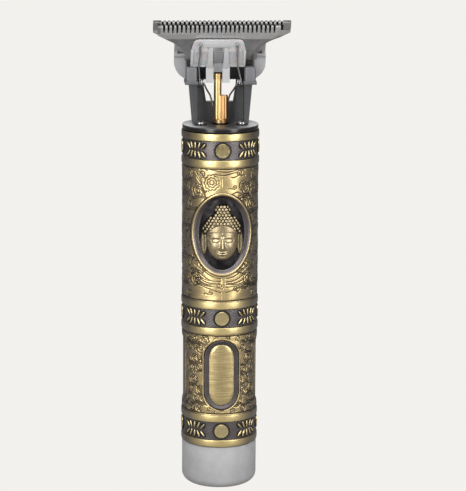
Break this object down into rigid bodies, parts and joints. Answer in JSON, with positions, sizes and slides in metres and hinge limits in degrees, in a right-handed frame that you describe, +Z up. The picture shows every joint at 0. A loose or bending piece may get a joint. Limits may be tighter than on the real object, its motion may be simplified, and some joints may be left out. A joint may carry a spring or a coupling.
{
  "type": "beard trimmer",
  "caption": "Cordless beard trimmer: a slim round handle with relief bands and an oval medallion, a leaning T blade driven by a brass eccentric and a plastic fork, and a grey bottom cap.",
  "frame": {"origin": "middle of the bottom cap's flat underside, on the motor's axis", "axes": "+Z up the handle to the blade; -Y to the front, where the medallion, the drive fork and the cutting edge are; +X to the right as seen from the front"},
  "size_m": [0.046, 0.0269, 0.1617],
  "materials": {
    "antique_brass": "antique gold plating rubbed bright on the high relief, dark patina in the recesses",
    "dark_patina": "near-black patina",
    "brushed_gold": "gold with fine brushing along the handle",
    "grey_plastic": "light grey, matte",
    "dark_plastic": "dark grey, half gloss",
    "base_plastic": "silver grey, satin",
    "milky_plastic": "milky translucent nylon",
    "blade_steel": "ground steel, polished bevel",
    "screw_steel": "bright nickel plating",
    "spring_steel": "drawn steel wire",
    "brass": "turned brass",
    "plated_steel": "zinc-plated steel",
    "magnet": "sintered ferrite",
    "copper": "bare copper",
    "carbon": "carbon",
    "cell_wrap": "shrunk plastic sleeve",
    "board_green": "green solder mask",
    "black_plastic": "black moulded plastic",
    "lead_red": "red insulation",
    "lead_black": "black insulation",
    "clear_plastic": "clear light guide"
  },
  "bodies": {
    "handle": {"casing_tube": "antique_brass", "relief_head": "antique_brass", "medallion_plate": "dark_patina", "inlay_front": "brushed_gold", "inlay_right": "brushed_gold", "inlay_back": "brushed_gold", "inlay_left": "brushed_gold", "bottom_cap": "grey_plastic", "circuit_board": "board_green", "push_switch": "black_plastic", "charging_socket": "plated_steel", "indicator_led": "clear_plastic", "light_pipe": "clear_plastic", "cell_holder": "black_plastic", "battery_cell": "cell_wrap", "contact_negative": "copper", "contact_positive": "copper", "lead_red": "lead_red", "lead_black": "lead_black", "motor_can": "plated_steel", "motor_end_cap": "black_plastic", "upper_bush": "brass", "lower_bush": "brass", "magnet_left": "magnet", "magnet_right": "magnet", "brush_left": "carbon", "brush_right": "carbon", "motor_screw_front": "screw_steel", "motor_screw_back": "screw_steel", "motor_holder": "black_plastic", "blade_bracket": "dark_plastic", "bracket_screw_left": "screw_steel", "bracket_screw_right": "screw_steel"},
    "rotor": {"rotor_core": "plated_steel", "commutator": "copper", "motor_shaft": "plated_steel", "eccentric": "brass"},
    "blade_head": {"blade_base": "base_plastic", "fixed_blade": "blade_steel", "blade_screw_left": "screw_steel", "blade_screw_right": "screw_steel", "tension_spring": "spring_steel"},
    "cutter": {"moving_cutter": "blade_steel", "drive_fork": "milky_plastic"},
    "button": {"power_button": "dark_plastic"}
  },
  "joints": [
    {"name": "rotor_spin", "type": "hinge", "parent": "handle", "child": "rotor", "pos_m": [0, 0, 0.105], "axis": [0, 0, 1], "range_deg": [0, 180]},
    {"name": "head_lift", "type": "slide", "parent": "handle", "child": "blade_head", "axis": [0, 0, 1], "range_m": [0, 0.022]},
    {"name": "cutter_slide", "type": "slide", "parent": "blade_head", "child": "cutter", "axis": [1, 0, 0], "range_m": [0, 0.002]},
    {"name": "button_press", "type": "slide", "parent": "handle", "child": "button", "axis": [0, 0, 1], "range_m": [0, 0.001], "stiffness_N_per_m": 1500}
  ],
  "couplings": [
    {"joint": "cutter_slide", "follows": "rotor_spin", "m_per_rad": 0.0006366}
  ]
}
